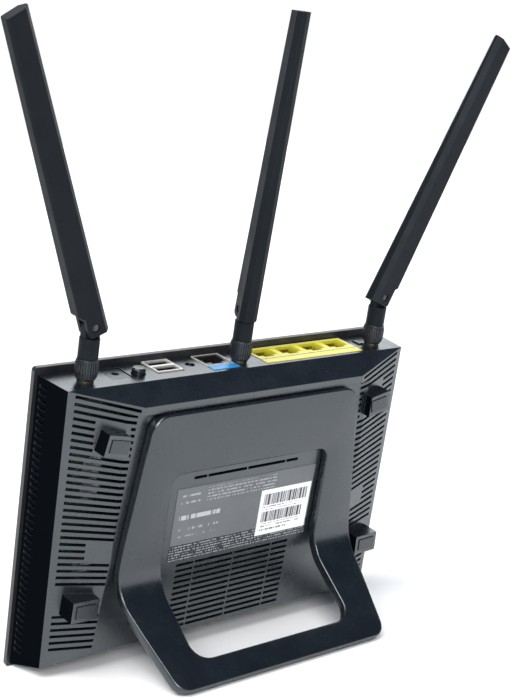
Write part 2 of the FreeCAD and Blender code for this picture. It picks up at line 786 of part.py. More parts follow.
def board_parts():
    """Shielding over the radios, the chips, supply capacitors and network transformers."""
    left = on_board("left_shield", (34, 76), (64, 92), 3)
    right = on_board("right_shield", (-76, -34), (64, 92), 3)
    keep("rf_shields", group("shields", left, right))
    memory = on_board("memory", (-14, -2), (88, 98), 1.2)
    flash = on_board("flash", (3, 14), (88, 97), 1.2)
    switch = on_board("switch_chip", (-50, -36), (106, 120), 1.2)
    keep("board_chips", group("chips", memory, flash, switch))
    tall = 6.5
    cans = []
    for number, (across, height) in enumerate(CAPACITORS):
        at = (across, f"board_face + board_gauge + {tall}", height)
        cans.append(cylinder(f"capacitor_{number}", 5, tall, at, FORWARDS))
    keep("capacitors", group("supply_capacitors", *cans))
    lan = on_board("lan_magnetics", (-61, -17), (102, 116), 6, back=False)
    wan = on_board("wan_magnetics", (4, 18), (102, 116), 6, back=False)
    keep("line_transformers", group("magnetics", lan, wan))


# Network ports ----------------------------------------------------------------------------------


def port_centres(first, count):
    """Positions across the router of a row of ports; first is the row's lower side."""
    return [f"({first}) + jack_pitch * {index + 0.5}" for index in range(count)]


def port_cavity(name, centre):
    """A plug's space: its body and the step for its latch."""
    front = f"jack_front + {CAVITY_FRONT}"
    high = (f"shell_top - {CAVITY_REACH}", "shell_top + 2")
    half = CAVITY_WIDTH / 2
    back = f"{front} + {CAVITY_DEPTH}"
    plug = box(f"{name}_plug", (f"{centre} - {half}", f"{centre} + {half}"), (front, back), high)
    latch_across = (f"{centre} - 3.1", f"{centre} + 3.1")
    latch = box(f"{name}_latch", latch_across, (f"{back} - 0.1", f"{back} + 1.7"), high)
    return fuse(name, plug, latch)


def port_contacts(name, centre):
    """Eight gilt wires on the front side of a plug's space."""
    wires = []
    for index in range(8):
        across = f"{centre} + {(index - 3.5) * 1.02}"
        deep = (f"jack_front + {CAVITY_FRONT}", f"jack_front + {CAVITY_FRONT + 0.5}")
        high = (f"shell_top - {CAVITY_REACH}", "shell_top - 1.4")
        wires.append(box(f"{name}_wire_{index}", (f"{across} - 0.22", f"{across} + 0.22"), deep, high))
    return wires


def port_block(name, first, count, lip):
    """A moulded block of network ports, its metal shell and its contacts."""
    last = f"({first}) + jack_pitch * {count}"
    low = "jack_floor"
    back = "jack_front + jack_depth"
    outer = box(f"{name}_can", (first, last), ("jack_front", back), (low, "shell_top + 0.3"))
    metal = SHEET_METAL
    room_across = (f"({first}) + {metal}", f"{last} - {metal}")
    room_deep = (f"jack_front + {metal}", f"{back} - {metal}")
    room = box(f"{name}_room", room_across, room_deep, (f"{low} - 1", "shell_top + 2"))
    keep(f"{name}_shield", cut(f"{name}_shell", outer, room))
    block = box(f"{name}_moulding", room_across, room_deep, (low, f"shell_top + {lip}"))
    centres = port_centres(first, count)
    cavities = [port_cavity(f"{name}_cavity_{index}", centre) for index, centre in enumerate(centres)]
    keep(f"{name}_block", cut(f"{name}_ports", block, *cavities))
    wires = []
    for index, centre in enumerate(centres):
        wires += port_contacts(f"{name}_{index}", centre)
    keep(f"{name}_contacts", group(f"{name}_wires", *wires))


def port_marker(name, first, count):
    """A coloured strip on the port face beside a block of ports."""
    last = f"({first}) + jack_pitch * {count}"
    deep = ("jack_front + jack_depth + 0.6", "jack_front + jack_depth + 5.2")
    strip = box(f"{name}_strip", (first, last), deep, ("shell_top", "shell_top + 0.25"))
    keep(f"{name}_marker", group(f"{name}_marking", strip))


def network_ports():
    lan_first = "0 - lan_near - jack_pitch * 4"
    port_block("lan", lan_first, 4, 0.1)
    port_marker("lan", lan_first, 4)
    port_block("wan", "wan_near", 1, 0.0)
    port_marker("wan", "wan_near", 1)


# Other sockets ----------------------------------------------------------------------------------


def usb_sockets():
    """Two stacked sockets in one metal shell, each with its tongue."""
    shell = box("usb_can", (USB_X - 7, USB_X + 7), (3.6, "board_face"), (126, "shell_top + 0.5"))
    opening = (USB_X - 6.3, USB_X + 6.3)
    tongue = (USB_X - 5.6, USB_X + 5.6)
    slots = []
    tongues = []
    for number, front in enumerate((4.3, 11.3)):
        slots.append(box(f"usb_slot_{number}", opening, (front, front + 5.3), (133, 150)))
        deep = (front + 0.5, front + 2.4)
        tongues.append(box(f"usb_tongue_{number}", tongue, deep, (133, "shell_top - 1.5")))
    keep("usb_shell", cut("usb_metal", shell, *slots))
    keep("usb_tongues", group("usb_plastic", *tongues))


def power_socket():
    """The round power inlet in a square block, with its centre pin."""
    across = (POWER_JACK_X - 4.9, POWER_JACK_X + 4.9)
    block = box("inlet_block", across, (6.4, "board_face"), (128, "shell_top - 0.3"))
    well = cylinder("inlet_well", 1.8, 20, (POWER_JACK_X, 11.6, 134))
    keep("power_inlet", cut("inlet", block, well))
    pin = cylinder("inlet_pin", 0.6, "shell_top - 134 - 2", (POWER_JACK_X, 11.6, 134))
    tip = rounded("pin_tip", pin, 0.3, lambda edge: edge.BoundBox.ZMin > 140)
    keep("power_inlet_pin", group("pin", tip))


# Buttons ----------------------------------------------------------------------------------------


def power_button():
    """A round push button: cap, flange and stem, turned in one piece."""
    button = body("power_cap")
    drawing = sketch(button, "power_profile", "XZ_Plane")
    profile = [
        (0, "shell_top - 11"),
        (1.5, "shell_top - 11"),
        (1.5, "shell_top - 5.1"),
        ("button_radius + 1", "shell_top - 5.1"),
        ("button_radius + 1", "shell_top - 4.4"),
        ("button_radius", "shell_top - 4.4"),
        ("button_radius", "shell_top + 2.4"),
        ("button_radius - 0.6", "shell_top + 3.0"),
        (0, "shell_top + 2.8"),
    ]
    revolve(button, "power_turned", draw(drawing, profile))
    keep("power_button", button, Placement(Vector(POWER_BUTTON_X, POWER_BUTTON_Y, 0), Rotation()))


def power_switch():
    """The latching switch on the board, with a well for the button's stem."""
    across = (POWER_BUTTON_X - 4.5, POWER_BUTTON_X + 4.5)
    block = box("switch_block", across, (8, "board_face"), (124, "shell_top - 8.4"))
    well = cylinder("switch_well", 1.85, 12, (POWER_BUTTON_X, POWER_BUTTON_Y, "shell_top - 14"))
    keep("power_switch", cut("switch", block, well))


def small_buttons():
    """The recessed reset pin and the flat pairing button, with the switches under them."""
    at = (RESET_X, BUTTON_Y, "shell_top - 6")
    stem = cylinder("reset_stem", 2.0, 5.1, at)
    flange = cylinder("reset_flange", 2.9, 0.9, at)
    keep("reset_button", fuse("reset_pin", stem, flange))
    cap = around("pairing_cap", PAIRING_X, (1.6, 2.6), ("shell_top - 6", "shell_top + 0.7"))
    soft = rounded("pairing_soft", cap, 0.4, lambda edge: edge.BoundBox.ZMin > size("shell_top"))
    rim = around("pairing_rim", PAIRING_X, (2.6, 3.4), ("shell_top - 6", "shell_top - 5.1"))
    keep("wps_button", fuse("pairing_key", soft, rim))
    high = ("shell_top - 11", "shell_top - 6.8")
    switches = []
    for name, centre in (("reset", RESET_X), ("pairing", PAIRING_X)):
        switches.append(box(f"{name}_switch", (centre - 3, centre + 3), (BUTTON_Y - 3, "board_face"), high))
    keep("tact_switches", group("tact", *switches))


def around(name, centre, halves, high):
    """A box about a button's axis, with half sizes across and deep."""
    across, deep = halves
    return box(name, (centre - across, centre + across), (BUTTON_Y - deep, BUTTON_Y + deep), high)


# Antennas ---------------------------------------------------------------------------------------


def sockets():
    """Brass antenna sockets through the port face, their washers and the leads to the board."""
    jacks = []
    washers = []
    leads = []
    for name, side, _, _ in ANTENNAS:
        across = f"{side} * antenna_side"
        tube = cylinder(f"{name}_tube", "socket_radius", 12.4, (across, "antenna_depth", "shell_top - 5.8"))
        nut = doc.addObject("Part::Prism", f"{name}_nut")
        nut.Polygon = 6
        nut.Circumradius = 4.2
        nut.Height = 1.8
        nut.Placement.Rotation = Rotation(Vector(0, 0, 1), 30)
        for axis, text in zip("xyz", (across, "antenna_depth", "shell_top - wall - 1.8")):
            bind(nut, f"Placement.Base.{axis}", text)
        core = cylinder(f"{name}_core", 1.7, 5, (across, "antenna_depth", "shell_top + 2"))
        jacks.append(cut(f"{name}_jack", fuse(f"{name}_brass", tube, nut), core))
        ring = cylinder(f"{name}_ring", 3.8, 0.5, (across, "antenna_depth", "shell_top"))
        eye = cylinder(f"{name}_eye", "socket_radius + 0.05", 2, (across, "antenna_depth", "shell_top - 1"))
        washers.append(cut(f"{name}_washer", ring, eye))
        lead = cylinder(f"{name}_wire", 0.65, 19.5, (across, "board_face - 0.7", 120))
        leads.append(lead)
    keep("antenna_sockets", group("jacks", *jacks))
    keep("socket_washers", group("washers", *washers))
    keep("antenna_leads", group("leads", *leads))


def collar(name, side):
    """The knurled nut that screws an antenna on."""
    ring = body(f"{name}_ring_body")
    drawing = sketch(ring, f"{name}_ring_profile", "XZ_Plane")
    foot = "collar_foot"
    top = "collar_foot + collar_height"
    profile = [
        (3.4, foot),
        ("collar_radius - 1.3", foot),
        ("collar_radius - 0.5", f"{foot} + 1.5"),
        ("collar_radius", f"{foot} + 4.0"),
        ("collar_radius - 0.1", f"{foot} + 7.6"),
        ("collar_radius - 0.7", top),
        (3.25, top),
        (3.25, f"{top} - 3.5"),
        (3.4, f"{top} - 3.5"),
    ]
    revolve(ring, f"{name}_ring_turned", draw(drawing, profile))
    middle = size("collar_foot") + size("collar_height") / 2
    lift = Placement(Vector(0, 0, middle), Rotation())
    groove = sketch(ring, f"{name}_groove", "XY_Plane", lift)
    rectangle(groove, "collar_radius - 0.8", "collar_radius + 1", -0.27, 0.27)
    notch = ring.newObject("PartDesign::Pocket", f"{name}_notch")
    notch.Profile = groove
    notch.SideType = "Symmetric"
    bind(notch, "Length", "collar_height - 1.6")
    doc.recompute()
    knurl = ring.newObject("PartDesign::PolarPattern", f"{name}_knurl")
    knurl.Originals = [notch]
    knurl.Axis = (groove, ["N_Axis"])
    knurl.Angle = 360.0
    knurl.Occurrences = KNURLS
    ring.Tip = knurl
    keep(f"{name}_antenna_collar", ring, antenna_place(side, 0))


def barrel(name, side, swivel):
    """The round swivel above the collar, with a flat tongue for the hinge."""
    neck_foot = "collar_foot + collar_height - 3.2"
    shoulder = "hinge_height - shoulder_drop"
    neck = cylinder(f"{name}_neck", 2.95, f"{shoulder} - ({neck_foot})", (0, 0, neck_foot))
    drum_foot = "collar_foot + collar_height + 0.3"
    drum = cylinder(f"{name}_drum", "barrel_radius", f"{shoulder} - ({drum_foot})", (0, 0, drum_foot))
    soft = rounded(f"{name}_drum_soft", drum, 0.5, lambda edge: edge.BoundBox.ZMin > 16)
    half = "tongue_gauge / 2"
    wide = ("-tongue_radius", "tongue_radius")
    flat = box(f"{name}_flat", wide, (f"-{half}", half), (f"{shoulder} - 1", "hinge_height"))
    end = (0, half, "hinge_height")
    eye = cylinder(f"{name}_tongue_end", "tongue_radius", "tongue_gauge", end, FORWARDS)
    hole = cylinder(f"{name}_tongue_hole", "screw_radius + 0.05", 12, (0, 6, "hinge_height"), FORWARDS)
    swivel_body = cut(f"{name}_barrel", fuse(f"{name}_barrel_form", neck, soft, flat, eye), hole)
    keep(f"{name}_antenna_barrel", swivel_body, antenna_place(side, swivel))


def blade(name, side, swivel, tilt):
    """A tapering blade: bevelled along its spine, slotted for the tongue, notched where it folds."""
    form = wedge(
        f"{name}_blade_form",
        ("-blade_foot", "-blade_width / 2", "blade_width / 2", "-blade_gauge / 2", "blade_gauge / 2"),
        ("blade_length", "-tip_width / 2", "tip_width / 2", "-tip_gauge / 2", "tip_gauge / 2"),
    )
    soft = rounded(f"{name}_blade_soft", form, 1.6, lambda edge: lengthwise(edge, 1))
    spine = bevelled(f"{name}_blade_spine", soft, 2.3, lambda edge: lengthwise(edge, -1))
    upright = group(f"{name}_blade_upright", spine)
    upright.Placement.Rotation = Rotation(Vector(1, 0, 0), 90)
    slot_half = "tongue_gauge / 2 + 0.3"
    slot_deep = (f"-({slot_half})", slot_half)
    slot = box(f"{name}_slot", ("-tongue_radius - 0.8", 12), slot_deep, (-12, "tongue_radius + 0.7"))
    bore = cylinder(f"{name}_bore", 1.5, "blade_length - 24", (0, 0, 3))
    hole = cylinder(f"{name}_screw_hole", "screw_radius", 12, (0, 6, 0), FORWARDS)
    outer = cylinder(f"{name}_outer_seat", 1.9, 3, (0, f"{SEAT_FACE} + 3", 0), FORWARDS)
    inner = cylinder(f"{name}_inner_seat", 1.9, 3, (0, f"-({SEAT_FACE})", 0), FORWARDS)
    tools = [slot, fold_notch(name), tip_slant(name), bore, hole, outer, inner]
    keep(f"{name}_antenna_blade", cut(f"{name}_blade", upright, *tools), blade_place(side, swivel, tilt))
    element = cylinder(f"{name}_element_rod", 1.2, "blade_length - 28", (0, 0, 6))
    keep(f"{name}_antenna_element", group(f"{name}_element", element), blade_place(side, swivel, tilt))


def lengthwise(edge, side):
    """Whether an edge runs the length of a blade on one side of its middle."""
    return edge.Length > 100 and edge.BoundBox.Center.x * side > 1


def fold_notch(name):
    """The corner taken off a blade so that it folds down past the shoulder of its barrel."""
    notch = body(f"{name}_notch_body")
    inner = "barrel_radius - 0.5"
    edge = "blade_width / 2 + 0.2"
    toe = "barrel_radius - 1.7"
    foot = "-blade_foot"
    outline = [(toe, -10), (12, -10), (12, 8.4), (edge, 8.4), (inner, 6.0), (inner, -2.6), (toe, foot)]
    drawing = draw(sketch(notch, f"{name}_notch_outline", "XZ_Plane"), outline)
    pad(notch, f"{name}_notch_pad", drawing, 30, midplane=True)
    return notch


def tip_slant(name):
    """The space above a blade's slanting end, which is highest at the spine."""
    above = doc.addObject("Part::Box", f"{name}_above")
    above.Length = above.Width = above.Height = 30
    turn = Rotation(Vector(0, 1, 0), size("tip_slant"))
    corner = Vector(-size("tip_width") / 2, 0, size("blade_length"))
    above.Placement = Placement(corner + turn.multVec(Vector(-10, -15, 0)), turn)
    return above


def hinge_screw(name, side, swivel, tilt):
    """The pin of a blade's hinge, with a low head at each end."""
    pin = cylinder(f"{name}_pin", "screw_radius", f"2 * ({SEAT_FACE})", (0, SEAT_FACE, 0), FORWARDS)
    outer = cylinder(f"{name}_outer_head", 1.5, 0.6, (0, f"{SEAT_FACE} + 0.6", 0), FORWARDS)
    inner = cylinder(f"{name}_inner_head", 1.5, 0.6, (0, f"-({SEAT_FACE})", 0), FORWARDS)
    screw = fuse(f"{name}_hinge_pin", pin, outer, inner)
    keep(f"{name}_antenna_screw", screw, blade_place(side, swivel, tilt))


def antennas():
    sockets()
    for name, side, swivel, tilt in ANTENNAS:
        collar(name, side)
        barrel(name, side, swivel)
        blade(name, side, swivel, tilt)
        hinge_screw(name, side, swivel, tilt)


# Whole router -----------------------------------------------------------------------------------


def check():
    """Stop unless every object is sound and every piece is a valid solid."""
    doc.recompute()
    for thing in doc.Objects:
        if {"Invalid", "Error"} & set(thing.State):
            raise RuntimeError(f"{thing.Name}: {thing.State}")
    for piece in pieces:
        if piece.Shape.isNull() or not piece.Shape.isValid() or not piece.Shape.Solids:
            raise RuntimeError(f"{piece.Label} is not a valid solid")
        print(f"{piece.Label}: {len(piece.Shape.Solids)} solids, {piece.Shape.Volume / 1000:.2f} cm3")


def write():
    os.makedirs("parts", exist_ok=True)
    for piece in pieces:
        piece.Shape.exportStep(f"parts/{piece.Label}.step")


ground = table()
front_cover(ground)
light_guide()
rear_shell()
foot_pads()
stand(ground)
labels()
main_board()
board_screws()
heatsink()
board_parts()
network_ports()
usb_sockets()
power_socket()
power_button()
power_switch()
small_buttons()
antennas()
check()
write()
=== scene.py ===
import json
import math

import bmesh
import bpy
from mathutils import Matrix, Vector


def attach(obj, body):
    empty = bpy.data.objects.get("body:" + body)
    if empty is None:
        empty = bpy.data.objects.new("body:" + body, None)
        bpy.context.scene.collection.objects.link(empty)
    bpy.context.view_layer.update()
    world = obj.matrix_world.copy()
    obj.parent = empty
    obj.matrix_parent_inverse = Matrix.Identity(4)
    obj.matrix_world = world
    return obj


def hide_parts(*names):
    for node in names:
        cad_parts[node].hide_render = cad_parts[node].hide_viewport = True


# A leaning wireless router with three antennas on a pale studio floor. Lengths are metres, except in
# the stand's own section and on the printed sheets, where they are millimetres.

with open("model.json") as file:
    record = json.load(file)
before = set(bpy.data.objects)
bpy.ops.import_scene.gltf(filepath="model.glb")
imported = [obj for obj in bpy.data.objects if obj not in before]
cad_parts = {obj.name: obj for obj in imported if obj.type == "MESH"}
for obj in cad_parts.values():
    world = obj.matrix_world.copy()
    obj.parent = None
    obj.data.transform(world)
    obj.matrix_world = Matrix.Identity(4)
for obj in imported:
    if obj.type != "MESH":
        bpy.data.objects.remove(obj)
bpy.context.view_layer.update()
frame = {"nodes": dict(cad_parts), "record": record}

MM = 0.001
LEAN = math.radians(11.5)
BACK_TILT = math.radians(11.5 + 1.69)

# The stand in the upright router's frame, in millimetres: a sheet with a window, bent once. Heights
# are the router's; CORNER_HEIGHT is where the plate and the leg would meet without the bend.
PLATE_FACE = 37.6
GAUGE = 5.0
EDGE_ROUND = 0.9
STAND_TOP = 133.0
TOP_HALF = 60.5
CORNER_HEIGHT = 49.0
CORNER_HALF = 72.0
LEG_LENGTH = 53.9
BEND_RADIUS = 19.0
BEND_TURN = math.radians(57.0)
BEND_REACH = BEND_RADIUS * math.tan(BEND_TURN / 2)
BEND_LENGTH = BEND_RADIUS * BEND_TURN
BEND_TOP = CORNER_HEIGHT + BEND_REACH
WINDOW_TOP = 102.6
WINDOW_HALF = 47.0
BAR_WIDTH = 12.6

# How much each side of the stand draws in for a millimetre up the plate and down the leg.
PLATE_TAPER = 0.1383
LEG_TAPER = 0.181

# The leaned router's place: the point that becomes the origin, and its upward direction.
REST = Vector((0.0, 3.1 - 0.9 * math.cos(LEAN), 0.9 * math.sin(LEAN)))
DEVICE_UP = Vector((0.0, math.sin(LEAN), math.cos(LEAN)))

# The slightly blue sheen of the black plastics.
COOL = (0.88, 0.95, 1.0, 1.0)


# Node helpers -----------------------------------------------------------------------------------


class Recipe:
    """A material's node tree with a few short ways to add to it."""

    def __init__(self, name):
        self.material = bpy.data.materials.new(name)
        self.material.use_nodes = True
        self.tree = self.material.node_tree
        self.shader = self.tree.nodes["Principled BSDF"]
        self.place = self.node("ShaderNodeTexCoord").outputs["Object"]

    def node(self, kind, **settings):
        made = self.tree.nodes.new(kind)
        for key, setting in settings.items():
            setattr(made, key, setting)
        return made

    def link(self, source, target):
        self.tree.links.new(source, target)

    def stretched(self, scale, turn=(0.0, 0.0, 0.0), shift=(0.0, 0.0, 0.0)):
        """The object's own coordinates, scaled, then turned, then shifted."""
        mapping = self.node("ShaderNodeMapping")
        mapping.inputs["Scale"].default_value = scale
        mapping.inputs["Rotation"].default_value = turn
        mapping.inputs["Location"].default_value = shift
        self.link(self.place, mapping.inputs["Vector"])
        return mapping.outputs["Vector"]

    def split(self, vector):
        """The X, Y and Z sockets of a vector."""
        made = self.node("ShaderNodeSeparateXYZ")
        self.link(vector, made.inputs["Vector"])
        return made.outputs["X"], made.outputs["Y"], made.outputs["Z"]

    def facing(self, axis, start=0.75, end=0.9):
        """1 where the surface faces along an axis of the object, 0 elsewhere."""
        dot = self.node("ShaderNodeVectorMath", operation="DOT_PRODUCT")
        self.link(self.tree.nodes["Texture Coordinate"].outputs["Normal"], dot.inputs[0])
        dot.inputs[1].default_value = axis
        return self.spread(dot.outputs["Value"], 0.0, 1.0, start, end)

    def between(self, source, low, high):
        """1 where source lies between two numbers, 0 elsewhere."""
        above = self.maths("GREATER_THAN", source, low)
        below = self.maths("LESS_THAN", source, high)
        return self.maths("MULTIPLY", above, below)

    def noise(self, scale, detail=3.0, roughness=0.55, vector=None):
        made = self.node("ShaderNodeTexNoise")
        made.inputs["Scale"].default_value = scale
        made.inputs["Detail"].default_value = detail
        made.inputs["Roughness"].default_value = roughness
        self.link(vector or self.place, made.inputs["Vector"])
        return made.outputs["Fac"]

    def cells(self, scale):
        """Distance from the middle of the nearest of many small cells."""
        made = self.node("ShaderNodeTexVoronoi")
        made.inputs["Scale"].default_value = scale
        self.link(self.place, made.inputs["Vector"])
        return made.outputs["Distance"]

    def spread(self, source, low, high, start=0.3, end=0.7):
        """source between start and end, spread over low to high."""
        made = self.node("ShaderNodeMapRange")
        for key, number in (("From Min", start), ("From Max", end), ("To Min", low), ("To Max", high)):
            made.inputs[key].default_value = number
        self.link(source, made.inputs["Value"])
        return made.outputs["Result"]

    def mix(self, factor, first, second):
        """A colour between two colours or sockets."""
        made = self.node("ShaderNodeMix", data_type="RGBA")
        self.link(factor, made.inputs["Factor"])
        for key, colour in (("A", first), ("B", second)):
            socket = next(s for s in made.inputs if s.name == key and s.type == "RGBA")
            if isinstance(colour, tuple):
                socket.default_value = (*colour, 1.0)
            else:
                self.link(colour, socket)
        return next(s for s in made.outputs if s.type == "RGBA")

    def maths(self, operation, first, second):
        made = self.node("ShaderNodeMath", operation=operation)
        for index, operand in enumerate((first, second)):
            if isinstance(operand, (int, float)):
                made.inputs[index].default_value = operand
            else:
                self.link(operand, made.inputs[index])
        return made.outputs["Value"]

    def edges(self, radius):
        """1 on edges rounder than the mesh, 0 on flat faces."""
        bevel = self.node("ShaderNodeBevel", samples=4)
        bevel.inputs["Radius"].default_value = radius
        geometry = self.node("ShaderNodeNewGeometry")
        dot = self.node("ShaderNodeVectorMath", operation="DOT_PRODUCT")
        self.link(bevel.outputs["Normal"], dot.inputs[0])
        self.link(geometry.outputs["Normal"], dot.inputs[1])
        return self.spread(dot.outputs["Value"], 1.0, 0.0, 0.75, 0.99)

    def bump(self, height, distance, strength=1.0, normal=None):
        made = self.node("ShaderNodeBump")
        made.inputs["Strength"].default_value = strength
        made.inputs["Distance"].default_value = distance
        self.link(height, made.inputs["Height"])
        if normal:
            self.link(normal, made.inputs["Normal"])
        return made.outputs["Normal"]

    def colour(self, source):
        self.link(source, self.shader.inputs["Base Color"])

    def roughness(self, source):
        self.link(source, self.shader.inputs["Roughness"])

    def relief(self, source):
        self.link(source, self.shader.inputs["Normal"])

    def set(self, **numbers):
        """Even values on the shader's own sockets; a name's underscores stand for spaces."""
        for key, number in numbers.items():
            self.shader.inputs[key.replace("_", " ")].default_value = number


# Stand ------------------------------------------------------------------------------------------


def stand_half(run):
    """Half width of the stand at a run down its sheet, measured from the start of the bend."""
    middle = BEND_LENGTH / 2
    above = CORNER_HALF - (middle - run) * PLATE_TAPER
    below = CORNER_HALF - (run - middle) * LEG_TAPER
    soft = 2.2
    return -soft * math.log(math.exp(-above / soft) + math.exp(-below / soft))


def arc(corner, before, after, radius, steps=6):
    """Points that round a corner between its two neighbours."""
    corner, before, after = Vector(corner), Vector(before), Vector(after)
    inward = (before - corner).normalized()
    outward = (after - corner).normalized()
    half = inward.angle(outward) / 2
    reach = radius / math.tan(half)
    centre = corner + (inward + outward).normalized() * radius / math.sin(half)
    start = corner + inward * reach - centre
    end = corner + outward * reach - centre
    turn = start.angle_signed(end)
    return [centre + Matrix.Rotation(-turn * step / steps, 2) @ start for step in range(steps + 1)]


def rounded_loop(corners):
    """A closed outline of (point, radius) corners; a radius of 0 keeps the point."""
    points = []
    for index, (corner, radius) in enumerate(corners):
        if radius == 0:
            points.append(Vector(corner))
            continue
        before = corners[index - 1][0]
        after = corners[(index + 1) % len(corners)][0]
        points += arc(corner, before, after, radius)
    return points


def stand_loops():
    """The outline and the window of the stand's flat sheet, across and down."""
    top = BEND_TOP - STAND_TOP
    foot = BEND_LENGTH + LEG_LENGTH - BEND_REACH
    rows = 40
    margin = 3
    runs = [top + (foot - top) * (row + margin) / (rows + 2 * margin) for row in range(1, rows)]
    right = [((stand_half(run), run), 0) for run in runs]
    left = [((-stand_half(run), run), 0) for run in reversed(runs)]
    top_round = 9.0
    upper = [((-TOP_HALF, top), top_round), ((TOP_HALF, top), top_round)]
    foot_round = 8.0
    lower = [((stand_half(foot), foot), foot_round), ((-stand_half(foot), foot), foot_round)]
    return rounded_loop(upper + right + lower + left), rounded_loop(window_corners(foot))


def window_corners(foot):
    """The corners of the stand's window with their radii; foot is the run at the end of the leg."""
    high = BEND_TOP - WINDOW_TOP
    low = foot - BAR_WIDTH
    high_round = 6.0
    low_round = 9.0
    return [
        ((-WINDOW_HALF, high), high_round),
        ((WINDOW_HALF, high), high_round),
        ((WINDOW_HALF, low), low_round),
        ((-WINDOW_HALF, low), low_round),
    ]


def bent(point):
    """Where a point of the flat sheet (across, down, depth from the outer face) goes in the row."""
    across, run, depth = point
    reach = BEND_RADIUS + depth
    angle = min(max(run / BEND_RADIUS, 0.0), BEND_TURN)
    beyond = max(run - BEND_LENGTH, 0.0) + min(run, 0.0)
    back = PLATE_FACE + BEND_RADIUS - reach * math.cos(angle) + beyond * math.sin(angle)
    height = BEND_TOP - reach * math.sin(angle) - beyond * math.cos(angle)
    upright = Vector((across, back, height))
    leaned = Matrix.Rotation(-LEAN, 3, "X") @ (upright - REST)
    leaned.z = max(leaned.z, 0.0)
    return leaned * MM


def on_rim(edge):
    """Whether an edge of the thick flat sheet runs round its outline or its window."""
    level = abs(edge.verts[0].co.z - edge.verts[1].co.z) < 0.1
    return level and len(edge.link_faces) == 2 and edge.calc_face_angle() > 1.2


def stand_sheet():
    """The stand's sheet before it is bent: flat, with its window, its thickness and soft edges."""
    mesh = bmesh.new()
    for loop in stand_loops():
        ring = [mesh.verts.new((point.x, point.y, 0.0)) for point in loop]
        for index, vertex in enumerate(ring):
            mesh.edges.new((vertex, ring[(index + 1) % len(ring)]))
    bmesh.ops.triangle_fill(mesh, use_beauty=True, edges=mesh.edges[:])
    bmesh.ops.recalc_face_normals(mesh, faces=mesh.faces[:])
    pushed = bmesh.ops.extrude_face_region(mesh, geom=mesh.faces[:])
    moved = [item for item in pushed["geom"] if isinstance(item, bmesh.types.BMVert)]
    bmesh.ops.translate(mesh, verts=moved, vec=(0, 0, GAUGE))
    bmesh.ops.recalc_face_normals(mesh, faces=mesh.faces[:])
    rims = [edge for edge in mesh.edges if on_rim(edge)]
    bmesh.ops.bevel(mesh, geom=rims, offset=EDGE_ROUND, segments=3, profile=0.5, affect="EDGES")
    return mesh


def stand_frame(materials):
    """The bent stand, in place of the CAD's: soft edges and sides that curve through the bend."""
    mesh = stand_sheet()
    facets = 14
    for step in range(facets + 1):
        run = BEND_LENGTH * step / facets
        everything = mesh.verts[:] + mesh.edges[:] + mesh.faces[:]
        bmesh.ops.bisect_plane(mesh, geom=everything, plane_co=(0, run, 0), plane_no=(0, 1, 0))
    for vertex in mesh.verts:
        vertex.co = bent(vertex.co)
    bmesh.ops.recalc_face_normals(mesh, faces=mesh.faces[:])
    data = bpy.data.meshes.new("stand_frame")
    mesh.to_mesh(data)
    mesh.free()
    data.shade_smooth()
    data.set_sharp_from_angle(angle=math.radians(32))
    data.materials.append(materials["stand_black"])
    piece = bpy.data.objects.new("stand_frame", data)
    bpy.context.collection.objects.link(piece)
    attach(piece, "housing")
    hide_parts("stand")


# Materials --------------------------------------------------------------------------------------


def moulded(name, dark, light, rough, grain=2600.0, depth=0.012, edge_wear_and_highlight=0.3, specular=0.5):
    """Spark-eroded moulded plastic: fine grain, slow tone changes, rounded edges lightened partly by
    rubbing and partly by a painted highlight.
    """
    recipe = Recipe(name)
    add_plastic(recipe, dark, light, rough, grain, depth, edge_wear_and_highlight)
    recipe.set(Specular_IOR_Level=specular, IOR=1.55, Specular_Tint=COOL)
    return recipe.material


def add_plastic(recipe, dark, light, rough, grain, depth, edge_wear_and_highlight):
    """Give a recipe moulded plastic's colour, roughness and grain; the result is its colour."""
    tone = recipe.noise(38.0, 4.0)
    fine = recipe.noise(grain, 2.0, 0.6)
    base = recipe.mix(recipe.spread(tone, 0.0, 1.0), dark, light)
    flecked = recipe.mix(recipe.spread(fine, 0.0, 0.35, 0.45, 0.75), base, tuple(c * 1.9 for c in light))
    # Lighter edges: partly rubbed wear, partly a painted highlight along them.
    rub_and_highlight = recipe.maths("MULTIPLY", recipe.edges(0.5 * MM), edge_wear_and_highlight)
    rubbed_and_highlit = recipe.mix(rub_and_highlight, flecked, tuple(c * 3.0 + 0.02 for c in light))
    recipe.colour(rubbed_and_highlit)
    recipe.roughness(recipe.spread(recipe.noise(90.0, 3.0), rough - 0.05, rough + 0.06))
    softened = recipe.node("ShaderNodeBevel", samples=4)
    softened.inputs["Radius"].default_value = 0.35 * MM
    grainy = recipe.bump(fine, depth * MM, 0.5, softened.outputs["Normal"])
    recipe.relief(recipe.bump(recipe.cells(grain * 0.55), depth * MM * 1.4, 0.35, grainy))
    return rubbed_and_highlit


def casing(name):
    """The rear shell: satin at the back and on top, dull on its side walls, which are also painted darker
    as shade; its edges carry a stronger painted highlight.
    """
    recipe = Recipe(name)
    # The casing's edges are lightened more than the other plastics' as a painted highlight.
    plastic = add_plastic(recipe, (0.004, 0.005, 0.007), (0.007, 0.009, 0.011), 0.27, 2600.0, 0.004, 0.55)
    # Painted shade: walls that face the sides get a darker colour and no specular.
    left = recipe.facing((1.0, 0.0, 0.0))
    right = recipe.facing((-1.0, 0.0, 0.0))
    shaded_sides = recipe.maths("ADD", left, right)
    recipe.colour(recipe.mix(shaded_sides, plastic, (0.0025, 0.0035, 0.005)))
    recipe.link(recipe.spread(shaded_sides, 1.0, 0.0, 0.0, 1.0), recipe.shader.inputs["Specular IOR Level"])
    recipe.set(IOR=1.62, Specular_Tint=COOL)
    return recipe.material


